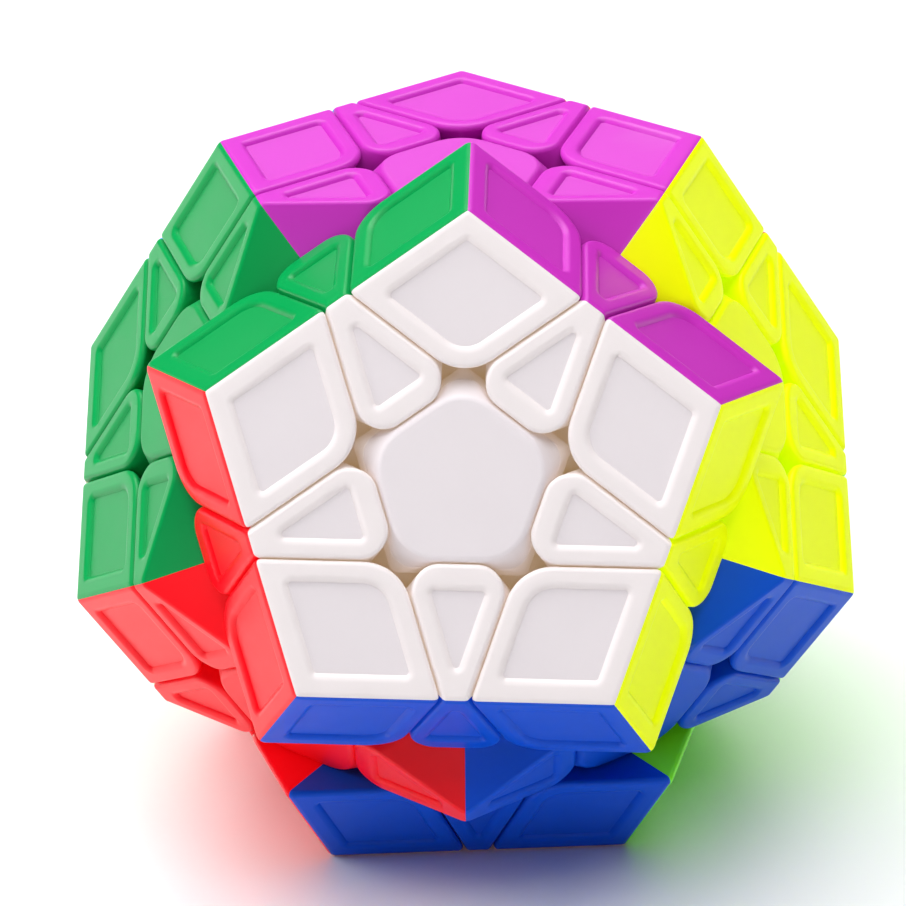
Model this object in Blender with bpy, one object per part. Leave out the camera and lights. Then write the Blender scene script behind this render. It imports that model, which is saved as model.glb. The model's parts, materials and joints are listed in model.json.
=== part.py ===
"""A dodecahedron twisty puzzle: 12 centres, 30 edges and 20 corners round a hidden core.

Lengths are in metres and +Z is up. The puzzle stands on its pink face, and the origin is the middle
of that face. The white face looks towards -Y. At rest two layers, the white one and the pink one,
are part way through a turn.

How it holds together: every boundary between a face's layer and the rest of the puzzle is a surface
of revolution about that face's axis. Near the surface it is the flat cut plane. Under the outer
bodies, between two balls, it is a wide cone, so edges and corners spread into feet there that are
trapped below their neighbours and the centres.
"""

import math

import bmesh
import bpy
from mathutils import Matrix, Quaternion, Vector

MM = 0.001

# Driving dimensions
FACE_DISTANCE = 35.0 * MM  # core centre to a face, half of the size across two opposite faces
CUT_DISTANCE = 22.55 * MM  # core centre to the cut plane under each face's layer
CUT_GAP = 0.15 * MM  # a piece stays this far from each cut plane
WHITE_REST_TURN = -38.0  # degrees about the white face's outward axis, counted from the solved state
PINK_REST_TURN = 33.0  # degrees about the pink face's outward axis, counted from the solved state

# The shell that the feet turn in
FOOT_OUTER_RADIUS = 31.5 * MM
FOOT_INNER_RADIUS = 27.5 * MM
FOOT_CONE = math.radians(53.0)  # half-angle of the cone that bounds a layer's feet
FOOT_CONE_GAP = math.radians(0.5)
BODY_UNDERSIDE = FOOT_OUTER_RADIUS + 0.3 * MM
EDGE_NECK_WIDTH = 9.0 * MM
EDGE_NECK_LENGTH = 4.4 * MM
EDGE_NECK_OVERLAP = 1.5 * MM

# Roundings seen from outside, as distances from the original edge
CORNER_ROUNDING = 3.9 * MM
EDGE_ROUNDING = 3.0 * MM
CENTRE_ROUNDING = 2.7 * MM

# The core, with a bored post under each face
CORE_RADIUS = 12.5 * MM
POST_RADIUS = 4.2 * MM
POST_START = 9.0 * MM
POST_TOP = 17.5 * MM
BORE_RADIUS = 1.8 * MM
BORE_BOTTOM = 8.5 * MM

# A centre: a hub on the post, closed by a snap-in cap
STALK_RADIUS = 4.4 * MM
STALK_BOTTOM = POST_TOP + 0.3 * MM
FLANGE_RADIUS = 9.0 * MM
FLANGE_BOTTOM = 23.6 * MM
FLANGE_TOP = 24.9 * MM
CAVITY_RADIUS = 3.4 * MM
CAVITY_FLOOR = 20.3 * MM
FLOOR_HOLE_RADIUS = 1.9 * MM
HUB_TOP = 33.0 * MM
CAP_UNDERSIDE = HUB_TOP + 0.3 * MM
PLUG_RADIUS = 3.0 * MM
PLUG_BOTTOM = 30.2 * MM
PLUG_TOP = 34.0 * MM

# The screw and its spring inside each hub
SHANK_RADIUS = 1.5 * MM
SHANK_BOTTOM = 9.5 * MM
HEAD_RADIUS = 2.7 * MM
HEAD_BOTTOM = 27.9 * MM
HEAD_TOP = 29.5 * MM
RECESS_RADIUS = 1.7 * MM
RECESS_HALF_WIDTH = 0.4 * MM
RECESS_DEPTH = 0.9 * MM

JOIN_OVERLAP = 0.5 * MM  # how far solids run into each other where they join
CUTTER_OVERRUN = 1.0 * MM  # how far a cutter sticks out of what it cuts
ROUND_SIDES = 12
SHANK_SIDES = 8
CORNER_SEGMENTS = 2
EDGE_SEGMENTS = 2
CENTRE_SEGMENTS = 3
LONG_ARC_STEPS = 5
SHORT_ARC_STEPS = 2
SMOOTH_ANGLE = math.radians(32.0)
SMALLEST_STEP = 0.000001

RING_TILT = math.atan(0.5)  # how far the two rings of side faces lean up or down


def ring_normal(azimuth_degrees, side):
    """The outward direction of a face in the upper (side 1) or lower (side -1) ring.

    Azimuth 0 is -Y and 90 is +X.
    """
    azimuth = math.radians(azimuth_degrees)
    flat = math.cos(RING_TILT)
    return Vector((flat * math.sin(azimuth), -flat * math.cos(azimuth), side * math.sin(RING_TILT)))


# Every face's outward direction. A piece is named, and takes its layer, in this order.
FACES = {
    "white": ring_normal(0, 1),
    "pink": Vector((0, 0, -1)),
    "orange": ring_normal(144, 1),
    "magenta": Vector((0, 0, 1)),
    "yellow": ring_normal(72, 1),
    "green": ring_normal(-72, 1),
    "blue": ring_normal(36, -1),
    "red": ring_normal(-36, -1),
    "light_blue": ring_normal(-144, 1),
    "lime": ring_normal(108, -1),
    "cream": ring_normal(-108, -1),
    "grey": ring_normal(180, -1),
}

# The three layers that share no piece, so that each can turn whatever the others do, and their turn at rest
LAYER_TURNS = {"white": WHITE_REST_TURN, "pink": PINK_REST_TURN, "orange": 0.0}

PLASTIC_COLOURS = {
    "white": (0.90, 0.88, 0.85),
    "pink": (0.90, 0.32, 0.45),
    "orange": (0.95, 0.25, 0.02),
    "magenta": (0.83, 0.07, 0.75),
    "yellow": (0.80, 0.95, 0.01),
    "green": (0.01, 0.46, 0.13),
    "blue": (0.02, 0.12, 0.60),
    "red": (0.87, 0.02, 0.03),
    "light_blue": (0.15, 0.55, 0.90),
    "lime": (0.20, 0.70, 0.05),
    "cream": (0.88, 0.80, 0.52),
    "grey": (0.32, 0.33, 0.35),
}


def make_material(name, colour, roughness, metallic):
    material = bpy.data.materials.new(name)
    material.use_nodes = True
    shader = material.node_tree.nodes["Principled BSDF"]
    shader.inputs["Base Color"].default_value = (*colour, 1.0)
    shader.inputs["Roughness"].default_value = roughness
    shader.inputs["Metallic"].default_value = metallic
    return material


def neighbours(face):
    """The five faces that share an edge with this one, in order round it."""
    axis = FACES[face]
    found = [name for name, normal in FACES.items() if 0.1 < normal.dot(axis) < 0.9]
    start = FACES[found[0]] - axis * axis.dot(FACES[found[0]])
    side = axis.cross(start)

    def angle(name):
        return math.atan2(FACES[name].dot(side), FACES[name].dot(start)) % math.tau

    return sorted(found, key=angle)


def edge_pairs():
    """The two faces of each of the 30 edge pieces, in the naming order."""
    order = list(FACES)
    ordered = [(a, b) for this, a in enumerate(order) for b in order[this:]]
    return [(a, b) for a, b in ordered if b in neighbours(a)]


def corner_triples():
    """The three faces of each of the 20 corner pieces: the first in naming order, then round the corner."""
    order = list(FACES)
    triples = []
    for first in order:
        ring = neighbours(first)
        for second, third in zip(ring, ring[1:] + ring[:1]):
            if order.index(first) < min(order.index(second), order.index(third)):
                triples.append((first, second, third))
    return triples


def end_faces(first, second):
    """The two faces at the ends of the edge between two faces."""
    return [name for name in neighbours(first) if name in neighbours(second)]


def columns(a, b, c):
    return Matrix((a, b, c)).transposed()


def rotation_between(sample, target):
    """The rotation that carries one pair of neighbouring directions onto another pair."""
    start = columns(sample[0], sample[1], sample[0].cross(sample[1]))
    end = columns(target[0], target[1], target[0].cross(target[1]))
    return end @ start.inverted()


# Solids


def convex_solid(planes):
    """The space under all the planes, each given as its outward direction and its distance out."""
    bm = bmesh.new()
    bmesh.ops.create_cube(bm, size=4 * FACE_DISTANCE)
    for direction, distance in planes:
        cut = bmesh.ops.bisect_plane(
            bm,
            geom=bm.verts[:] + bm.edges[:] + bm.faces[:],
            dist=SMALLEST_STEP,
            plane_co=direction * distance,
            plane_no=direction,
            clear_outer=True,
        )
        rim = [item for item in cut["geom_cut"] if isinstance(item, bmesh.types.BMEdge)]
        if rim:
            bmesh.ops.edgeloop_fill(bm, edges=rim)
    bmesh.ops.recalc_face_normals(bm, faces=bm.faces)
    return bm


def round_edges(bm, chosen, width, segments):
    """Rounds every edge that runs between two cut planes, as chosen picks them by their faces' directions."""
    edges = [edge for edge in bm.edges if chosen(*(face.normal for face in edge.link_faces))]
    bmesh.ops.bevel(bm, geom=edges, offset=width, segments=segments, profile=0.5, affect="EDGES")


def split_by(bm, direction):
    """Cuts the faces where a plane through the core centre crosses them, and removes nothing."""
    bmesh.ops.bisect_plane(
        bm,
        geom=bm.verts[:] + bm.edges[:] + bm.faces[:],
        dist=SMALLEST_STEP,
        plane_co=(0, 0, 0),
        plane_no=direction,
    )


def crossing(a, angle_a, b, angle_b, towards):
    """The direction at one angle from a and another from b, on the side of a third direction."""
    spread = a.dot(b)
    scale = 1.0 - spread * spread
    along_a = (math.cos(angle_a) - spread * math.cos(angle_b)) / scale
    along_b = (math.cos(angle_b) - spread * math.cos(angle_a)) / scale
    inside = a * along_a + b * along_b
    across = a.cross(b).normalized() * math.sqrt(1.0 - inside.length_squared)
    return max((inside + across, inside - across), key=towards.dot)


def arc(axis, start, end, steps):
    """Directions from start towards end, turning about axis, without end itself."""
    flat_start = start - axis * axis.dot(start)
    flat_end = end - axis * axis.dot(end)
    turn = math.atan2(axis.dot(flat_start.cross(flat_end)), flat_start.dot(flat_end))
    return [Quaternion(axis, turn * step / steps) @ start for step in range(steps)]


def shell_piece(middle, outline):
    """A closed piece of the feet's shell. The outline is a loop of directions round the middle."""
    bm = bmesh.new()
    outer = [bm.verts.new(direction * FOOT_OUTER_RADIUS) for direction in outline]
    inner = [bm.verts.new(direction * FOOT_INNER_RADIUS) for direction in outline]
    outer_middle = bm.verts.new(middle * FOOT_OUTER_RADIUS)
    inner_middle = bm.verts.new(middle * FOOT_INNER_RADIUS)
    count = len(outline)
    for this in range(count):
        following = (this + 1) % count
        bm.faces.new((outer_middle, outer[this], outer[following]))
        bm.faces.new((inner_middle, inner[following], inner[this]))
        bm.faces.new((outer[following], outer[this], inner[this], inner[following]))
    bmesh.ops.recalc_face_normals(bm, faces=bm.faces)
    return bm


def cylinder(radius, bottom, top, sides):
    """A closed upright cylinder on the Z axis."""
    bm = bmesh.new()
    middle = Matrix.Translation((0, 0, (bottom + top) / 2))
    bmesh.ops.create_cone(
        bm, cap_ends=True, segments=sides, radius1=radius, radius2=radius, depth=top - bottom, matrix=middle
    )
    return bm


def turned(profile, sides):
    """A closed solid turned about Z from a loop of (radius, height) points that runs down its outer side."""
    bm = bmesh.new()
    rings = []
    for radius, height in profile:
        angles = [math.tau * step / sides for step in range(sides)]
        rings.append([bm.verts.new((radius * math.cos(a), radius * math.sin(a), height)) for a in angles])
    for upper, lower in zip(rings, rings[1:] + rings[:1]):
        for this in range(sides):
            following = (this + 1) % sides
            bm.faces.new((upper[this], lower[this], lower[following], upper[following]))
    bmesh.ops.recalc_face_normals(bm, faces=bm.faces)
    return bm


def to_mesh(bm, name):
    mesh = bpy.data.meshes.new(name)
    bm.to_mesh(mesh)
    bm.free()
    return mesh


def combined(name, base, steps):
    """Joins solids to a base, or cuts them from it. Each step is ("UNION" or "DIFFERENCE", solid)."""
    body = bpy.data.objects.new(name, to_mesh(base, name))
    bpy.context.scene.collection.objects.link(body)
    helpers = []
    for operation, solid in steps:
        helper = bpy.data.objects.new(name + "_helper", to_mesh(solid, name + "_helper"))
        helper.hide_render = True
        helper.display_type = "WIRE"
        bpy.context.scene.collection.objects.link(helper)
        helpers.append(helper)
        modifier = body.modifiers.new(operation.lower(), "BOOLEAN")
        modifier.operation = operation
        modifier.object = helper
    graph = bpy.context.evaluated_depsgraph_get()
    mesh = bpy.data.meshes.new_from_object(body.evaluated_get(graph))
    for helper in [body, *helpers]:
        bpy.data.objects.remove(helper)
    mesh.name = name
    return mesh


def colour_by_sector(mesh, directions):
    """Gives each polygon the slot of the face direction that it is nearest."""
    for _ in directions:
        mesh.materials.append(None)
    for polygon in mesh.polygons:
        middle = Vector(polygon.center)
        polygon.material_index = max(range(len(directions)), key=lambda index: directions[index].dot(middle))


def smooth(mesh):
    mesh.shade_smooth()
    mesh.set_sharp_from_angle(angle=SMOOTH_ANGLE)
    return mesh


# The sample pieces, each modelled once about the core centre


def corner_mesh(first, second, third):
    """A corner piece: three facelets, three cut walls that meet at a rounded tip, and a three-lobed foot."""
    normals = [FACES[name] for name in (first, second, third)]
    planes = [(normal, FACE_DISTANCE) for normal in normals]
    planes += [(-normal, -(CUT_DISTANCE + CUT_GAP)) for normal in normals]
    body = convex_solid(planes)
    middle = sum(normals, Vector()).normalized()
    round_edges(body, lambda a, b: a.dot(middle) < 0 and b.dot(middle) < 0, CORNER_ROUNDING, CORNER_SEGMENTS)
    for this in range(3):
        split_by(body, normals[this] - normals[this - 1])

    angle = FOOT_CONE - FOOT_CONE_GAP
    tips = [crossing(normals[i - 2], angle, normals[i - 1], angle, normals[i]) for i in range(3)]
    outline = []
    for this in range(3):
        # The stretch between two lobe tips lies on the cone of the third face.
        outline += arc(normals[this - 1], tips[this], tips[this - 2], LONG_ARC_STEPS)
    mesh = combined("corner", body, [("UNION", shell_piece(middle, outline))])
    colour_by_sector(mesh, normals)
    return smooth(mesh)


def edge_mesh(first, second):
    """An edge piece: two facelets above four cut walls, a neck, and a foot that runs under two centres."""
    sides = [FACES[first], FACES[second]]
    ends = [FACES[name] for name in end_faces(first, second)]
    middle = sum(sides, Vector()).normalized()
    along = sides[0].cross(sides[1]).normalized()
    across = middle.cross(along)
    planes = [(normal, FACE_DISTANCE) for normal in sides]
    planes += [(-normal, -(CUT_DISTANCE + CUT_GAP)) for normal in sides]
    planes += [(normal, CUT_DISTANCE - CUT_GAP) for normal in ends]
    planes.append((-middle, -BODY_UNDERSIDE))
    body = convex_solid(planes)

    def between_walls(a, b):
        """True for the upright edges between a wall towards a centre and a wall towards a corner."""
        towards_centre = [min((normal + side).length for side in sides) < 0.1 for normal in (a, b)]
        towards_corner = [min((normal - end).length for end in ends) < 0.1 for normal in (a, b)]
        return any(towards_centre) and any(towards_corner)

    round_edges(body, between_walls, EDGE_ROUNDING, EDGE_SEGMENTS)
    split_by(body, sides[0] - sides[1])

    neck = convex_solid(
        [
            (middle, BODY_UNDERSIDE + EDGE_NECK_OVERLAP),
            (-middle, -(FOOT_OUTER_RADIUS - EDGE_NECK_OVERLAP)),
            (across, EDGE_NECK_WIDTH / 2),
            (-across, EDGE_NECK_WIDTH / 2),
            (along, EDGE_NECK_LENGTH / 2),
            (-along, EDGE_NECK_LENGTH / 2),
        ]
    )

    near = FOOT_CONE - FOOT_CONE_GAP
    far = FOOT_CONE + FOOT_CONE_GAP
    outline = []
    for this, other in ((0, 1), (1, 0)):
        # From one end of the stretch under a centre to its other end, then along the cone of an end face.
        start = crossing(sides[this], near, ends[this], far, sides[other])
        turn = crossing(sides[this], near, ends[other], far, sides[other])
        finish = crossing(sides[other], near, ends[other], far, sides[this])
        outline += arc(sides[this], start, turn, SHORT_ARC_STEPS)
        outline += arc(ends[other], turn, finish, LONG_ARC_STEPS)
    foot = shell_piece(middle, outline)
    mesh = combined("edge", body, [("UNION", neck), ("UNION", foot)])
    colour_by_sector(mesh, sides)
    return smooth(mesh)


def centre_plate(bottom, top):
    """A plate of a centre, between five cut planes, about +Z. Its first side faces +X."""
    lean = FACES["white"].dot(FACES["magenta"])
    outward = math.sqrt(1.0 - lean * lean)
    planes = [(Vector((0, 0, 1)), top), (Vector((0, 0, -1)), -bottom)]
    for step in range(5):
        angle = math.tau * step / 5
        normal = Vector((outward * math.cos(angle), outward * math.sin(angle), lean))
        planes.append((normal, CUT_DISTANCE - CUT_GAP))
    bm = convex_solid(planes)

    def between_sides(a, b):
        return max(abs(a.z), abs(b.z)) < outward

    round_edges(bm, between_sides, CENTRE_ROUNDING, CENTRE_SEGMENTS)
    return bm


def hub_mesh():
    """A centre's hub about +Z: a flanged stalk with a spring cavity, and a plate that carries the cap."""
    stalk = turned(
        [
            (STALK_RADIUS, HUB_TOP - JOIN_OVERLAP),
            (STALK_RADIUS, FLANGE_TOP),
            (FLANGE_RADIUS, FLANGE_TOP),
            (FLANGE_RADIUS, FLANGE_BOTTOM),
            (STALK_RADIUS, FLANGE_BOTTOM),
            (STALK_RADIUS, STALK_BOTTOM),
            (FLOOR_HOLE_RADIUS, STALK_BOTTOM),
            (FLOOR_HOLE_RADIUS, HUB_TOP - JOIN_OVERLAP),
        ],
        ROUND_SIDES,
    )
    plate = centre_plate(BODY_UNDERSIDE, HUB_TOP)
    cavity = cylinder(CAVITY_RADIUS, CAVITY_FLOOR, HUB_TOP + CUTTER_OVERRUN, ROUND_SIDES)
    return smooth(combined("hub", plate, [("UNION", stalk), ("DIFFERENCE", cavity)]))


def cap_mesh():
    """A centre's cap about +Z: the plate that shows, with a plug that snaps into the hub's cavity."""
    plug = cylinder(PLUG_RADIUS, PLUG_BOTTOM, PLUG_TOP, ROUND_SIDES)
    return smooth(combined("cap", centre_plate(CAP_UNDERSIDE, FACE_DISTANCE), [("UNION", plug)]))


def screw_mesh():
    """One screw about +Z, with a cross recess in its head."""
    bm = bmesh.new()
    outline = []
    for step in range(4):
        turn = Matrix.Rotation(math.tau * step / 4, 3, "Z")
        outline.append(turn @ Vector((RECESS_HALF_WIDTH, RECESS_HALF_WIDTH, 0)))
        outline.append(turn @ Vector((RECESS_HALF_WIDTH, RECESS_RADIUS, 0)))
        outline.append(turn @ Vector((-RECESS_HALF_WIDTH, RECESS_RADIUS, 0)))
    lower = [bm.verts.new(point + Vector((0, 0, HEAD_TOP - RECESS_DEPTH))) for point in outline]
    upper = [bm.verts.new(point + Vector((0, 0, HEAD_TOP + CUTTER_OVERRUN))) for point in outline]
    bm.faces.new(lower)
    bm.faces.new(upper)
    for this in range(len(outline)):
        following = (this + 1) % len(outline)
        bm.faces.new((lower[this], lower[following], upper[following], upper[this]))
    bmesh.ops.recalc_face_normals(bm, faces=bm.faces)
    head = cylinder(HEAD_RADIUS, HEAD_BOTTOM, HEAD_TOP, ROUND_SIDES)
    shank = cylinder(SHANK_RADIUS, SHANK_BOTTOM, HEAD_BOTTOM + JOIN_OVERLAP, SHANK_SIDES)
    return smooth(combined("screw", head, [("UNION", shank), ("DIFFERENCE", bm)]))


def locked_centre_mesh():
    """A centre that stays put, about +Z: its plate and its stalk down to the core, as one solid."""
    stalk = cylinder(STALK_RADIUS, POST_START, HUB_TOP, ROUND_SIDES)
    flange = cylinder(FLANGE_RADIUS, FLANGE_BOTTOM, FLANGE_TOP, ROUND_SIDES)
    plate = centre_plate(BODY_UNDERSIDE, FACE_DISTANCE)
    return combined("locked_centre", plate, [("UNION", stalk), ("UNION", flange)])


def under_each_face(mesh, faces):
    """Copies of a +Z mesh, one on each of the named faces' axes."""
    bm = bmesh.new()
    for face in faces:
        start = len(bm.verts)
        bm.from_mesh(mesh)
        bm.verts.ensure_lookup_table()
        bmesh.ops.transform(bm, matrix=face_rotation(face).to_4x4(), verts=bm.verts[start:])
    return bm


def face_rotation(face):
    """The rotation that carries +Z onto a face's axis, and +X towards one of its neighbours."""
    axis = FACES[face]
    towards = FACES[neighbours(face)[0]]
    sideways = (towards - axis * axis.dot(towards)).normalized()
    return columns(sideways, axis.cross(sideways), axis)


def core_mesh(locked):
    """The core: a ball with a bored post under each face that turns, and the other centres fixed to it."""
    ball = bmesh.new()
    bmesh.ops.create_icosphere(ball, subdivisions=3, radius=CORE_RADIUS)
    post = to_mesh(cylinder(POST_RADIUS, POST_START, POST_TOP, ROUND_SIDES), "post")
    bore = to_mesh(cylinder(BORE_RADIUS, BORE_BOTTOM, POST_TOP + CUTTER_OVERRUN, ROUND_SIDES), "bore")
    steps = [
        ("UNION", under_each_face(post, LAYER_TURNS)),
        ("UNION", under_each_face(locked_centre_mesh(), locked)),
        ("DIFFERENCE", under_each_face(bore, LAYER_TURNS)),
    ]
    mesh = combined("core", ball, steps)
    colour_by_sector(mesh, [FACES[face] for face in locked])
    return smooth(mesh)


# The assembly


def make_frames():
    """An empty at the core centre for each body, which carries that layer's turn at rest."""
    frames = {}
    for body, turn in {"core": 0.0, **LAYER_TURNS}.items():
        empty = bpy.data.objects.new(body + "_frame", None)
        bpy.context.scene.collection.objects.link(empty)
        axis = FACES.get(body, Vector((0, 0, 1)))
        lift = Matrix.Translation((0, 0, FACE_DISTANCE))
        empty.matrix_world = lift @ Matrix.Rotation(math.radians(turn), 4, axis)
        frames[body] = empty
    return frames


def place(name, mesh, frame, rotation, materials):
    """One object of the assembly, turned about the core centre, on its body's frame."""
    piece = bpy.data.objects.new(name, mesh)
    bpy.context.scene.collection.objects.link(piece)
    piece.parent = frame
    piece.matrix_local = rotation.to_4x4()
    while len(mesh.materials) < len(materials):
        mesh.materials.append(None)
    for slot, material in zip(piece.material_slots, materials):
        slot.link = "OBJECT"
        slot.material = material


def main():
    for leftover in list(bpy.data.objects):
        bpy.data.objects.remove(leftover)

    plastics = {face: make_material(face + "_plastic", PLASTIC_COLOURS[face], 0.35, 0.0) for face in FACES}
    steel = make_material("steel", (0.60, 0.60, 0.62), 0.3, 1.0)
    frames = make_frames()
    unturned = Matrix.Identity(3)

    locked = [face for face in FACES if face not in LAYER_TURNS]
    locked_plastics = [plastics[face] for face in locked]
    place("core_with_locked_centres", core_mesh(locked), frames["core"], unturned, locked_plastics)

    hub = hub_mesh()
    cap = cap_mesh()
    screw = screw_mesh()
    for face in LAYER_TURNS:
        place("centre_hub_" + face, hub, frames[face], face_rotation(face), [plastics[face]])
        place("centre_cap_" + face, cap, frames[face], face_rotation(face), [plastics[face]])
        place("axle_screw_" + face, screw, frames["core"], face_rotation(face), [steel])

    edges = edge_pairs()
    edge = edge_mesh(*edges[0])
    for pair in edges:
        frame = frames.get(pair[0], frames["core"])
        rotation = rotation_between(*([FACES[face] for face in faces] for faces in (edges[0], pair)))
        place("edge_" + "_".join(pair), edge, frame, rotation, [plastics[face] for face in pair])

    corners = corner_triples()
    corner = corner_mesh(*corners[0])
    for triple in corners:
        frame = frames.get(triple[0], frames["core"])
        rotation = rotation_between(*([FACES[face] for face in faces[:2]] for faces in (corners[0], triple)))
        place("corner_" + "_".join(triple), corner, frame, rotation, [plastics[face] for face in triple])


main()
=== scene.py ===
"""Looks for the dodecahedron twisty puzzle.

Each kind of piece is modelled once about the core centre, in metres, and copied to its places by
rotations. A corner or edge is made of one facelet per face: a flat rim round a sunken panel, half of
every ridge that it shares with the next face, and the walls below it. The facelets meet exactly on the
planes between their faces, where the colour changes.
"""

import json
import math
from typing import NamedTuple

import bmesh
import bpy
from mathutils import Matrix, Quaternion, Vector


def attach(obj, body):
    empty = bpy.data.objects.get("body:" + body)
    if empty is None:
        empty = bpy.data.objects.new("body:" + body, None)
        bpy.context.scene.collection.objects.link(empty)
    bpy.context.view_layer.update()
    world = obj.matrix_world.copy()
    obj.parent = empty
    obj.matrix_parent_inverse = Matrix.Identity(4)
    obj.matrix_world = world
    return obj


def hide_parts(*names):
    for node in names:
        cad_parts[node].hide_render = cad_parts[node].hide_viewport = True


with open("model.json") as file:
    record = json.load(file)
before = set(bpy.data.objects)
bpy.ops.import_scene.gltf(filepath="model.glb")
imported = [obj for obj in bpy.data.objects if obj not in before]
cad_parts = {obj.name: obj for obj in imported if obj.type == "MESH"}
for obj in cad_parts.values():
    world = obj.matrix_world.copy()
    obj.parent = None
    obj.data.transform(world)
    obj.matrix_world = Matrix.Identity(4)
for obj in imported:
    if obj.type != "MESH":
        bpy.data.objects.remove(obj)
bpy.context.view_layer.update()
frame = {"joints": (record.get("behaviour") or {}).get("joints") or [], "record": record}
SLOTS = [material["slot"] for material in frame["record"]["materials"]]

MM = 0.001
NO_LIGHT = (0.0, 0.0, 0.0)
WHITE = (1.0, 1.0, 1.0)

# Driving dimensions, as in the CAD
CORE_CENTRE = Vector(frame["joints"][0]["pos_m"])
FACE_DISTANCE = CORE_CENTRE.z
CUT_DISTANCE = 22.55 * MM
CUT_GAP = 0.05 * MM
LAYER_TURNS = {"white": -38.0, "pink": 33.0, "orange": 0.0}
FOOT_OUTER_RADIUS = 31.5 * MM
FOOT_INNER_RADIUS = 27.5 * MM
FOOT_CONE = math.radians(53.0)
FOOT_CONE_GAP = math.radians(0.5)
BODY_UNDERSIDE = FOOT_OUTER_RADIUS + 0.3 * MM
EDGE_NECK_WIDTH = 9.0 * MM
EDGE_NECK_LENGTH = 4.4 * MM
EDGE_NECK_OVERLAP = 1.5 * MM

# The core, hubs and screws, as in the CAD
CORE_RADIUS = 12.5 * MM
POST_RADIUS = 4.2 * MM
POST_START = 9.0 * MM
POST_TOP = 17.5 * MM
BORE_RADIUS = 1.8 * MM
BORE_BOTTOM = 8.5 * MM
STALK_RADIUS = 4.4 * MM
STALK_BOTTOM = POST_TOP + 0.3 * MM
FLANGE_RADIUS = 9.0 * MM
FLANGE_BOTTOM = 23.6 * MM
FLANGE_TOP = 24.9 * MM
CAVITY_RADIUS = 3.4 * MM
CAVITY_FLOOR = 20.3 * MM
FLOOR_HOLE_RADIUS = 1.9 * MM
HUB_TOP = 33.0 * MM
CAP_SEAM = 0.1 * MM
PLUG_RADIUS = 3.0 * MM
PLUG_BOTTOM = 30.2 * MM
PLUG_TOP = 34.0 * MM
SHANK_RADIUS = 1.5 * MM
SHANK_BOTTOM = 9.5 * MM
THREAD_PITCH = 0.6 * MM
THREAD_DEPTH = 0.2 * MM
HEAD_RADIUS = 2.7 * MM
HEAD_BOTTOM = 27.9 * MM
HEAD_TOP = 29.5 * MM
HEAD_DOME = 0.7 * MM
RECESS_RADIUS = 1.7 * MM
RECESS_HALF_WIDTH = 0.4 * MM
RECESS_DEPTH = 0.9 * MM
SPRING_RADIUS = 2.4 * MM
WIRE_RADIUS = 0.3 * MM
SPRING_TURNS = 7
STALK_BEVEL = 0.3 * MM
PLUG_BEVEL = 0.4 * MM
POST_BEVEL = 0.3 * MM
# How far joined solids run into each other, and how far a cutter runs out of what it cuts
JOIN_OVERLAP = 0.5 * MM
CUTTER_OVERRUN = 1.0 * MM

# Roundings of the moulded shells
RIDGE_RADIUS = 1.1 * MM
CUT_FILLET = 0.5 * MM
CENTRE_FILLET = 0.8 * MM
HUB_FILLET = 0.1 * MM
CORNER_WALL_RADIUS = 5.6 * MM
EDGE_WALL_RADIUS = 2.3 * MM
CENTRE_TOP_RADIUS = 5.3 * MM
CENTRE_FOOT_RADIUS = 1.2 * MM
FOOT_ROUNDING = 0.6 * MM
NECK_ROUNDING = 0.8 * MM

# Panels: how far they lie inside a facelet's sides, their depth, and their corner radii
CORNER_INSET = 2.45 * MM
EDGE_SIDE_INSET = 1.75 * MM
EDGE_END_INSET = 2.95 * MM
PANEL_DEPTH = 0.45 * MM
STEP_TILT = math.radians(58.0)
STEP_RADIUS = PANEL_DEPTH / (1 - math.cos(STEP_TILT))
STEP_WIDTH = STEP_RADIUS * math.sin(STEP_TILT)
PANEL_RADIUS = 0.35 * MM
CORNER_PANEL_RADIUS = 2.9 * MM

# How finely things are divided
RIDGE_STEPS = 4
FILLET_STEPS = 6
ROUND_STEPS = 12
PANEL_STEPS = 6
SIDE_SHARES = (0.04, 0.08, 0.5, 0.92, 0.96)
NEAR_POINTS = 2
SHARP_POINTS = 2 * NEAR_POINTS + 1
ROUND_POINTS = ROUND_STEPS + 1 + 2 * NEAR_POINTS
FOOT_STEPS = 8
OUTLINE_STEPS = 12
NECK_SIDES = 24
TURNED_SIDES = 36
HEAD_STEPS = 8
SPRING_STEPS = 20
WIRE_SIDES = 8
SHARP_ANGLE = math.radians(34.0)
FLAT_WEIGHT = 100
WELD = 0.001 * MM
CORE_SUBDIVISIONS = 5
FLOOR_DIVISIONS = 8

# The view, as a target from the core centre to the right and up
CAMERA_AZIMUTH = 0.932
CAMERA_ELEVATION = 28.691
CAMERA_ROLL = -0.96
CAMERA_DISTANCE = 397.5 * MM
CAMERA_TARGET = (-1.23 * MM, 1.569 * MM)
CAMERA_LENS = 147.0
FLOOR_HALF_WIDTH = 3.0
# Where the floor's painted light starts and ends, and how strong it gets. It keeps the sheet white far out.
FLOOR_LIGHT_START = 0.15
FLOOR_LIGHT_END = 1.35
FLOOR_LIGHT = 1.05

# Light: name, azimuth, elevation, width, height, power, and the kind of reflection that it is seen in
SOFTBOX_DISTANCE = 1.1
SOFTBOXES = (
    ("top", 0.0, 85.0, 1.0, 1.0, 12.9, "matt"),
    ("left", -90.0, 35.0, 0.8, 0.8, 5.9, "matt"),
    ("back_left", -140.0, 45.0, 0.8, 0.8, 4.9, "matt"),
    ("back", 180.0, 14.0, 0.8, 0.5, 8.1, "matt"),
    ("right", 90.0, 12.0, 0.8, 0.5, 0.8, "matt"),
    ("front", 0.0, 12.0, 0.6, 0.6, 1.5, "matt"),
    ("gloss", 180.0, 60.0, 0.8, 0.8, 8.5, "glossy"),
)

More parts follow.
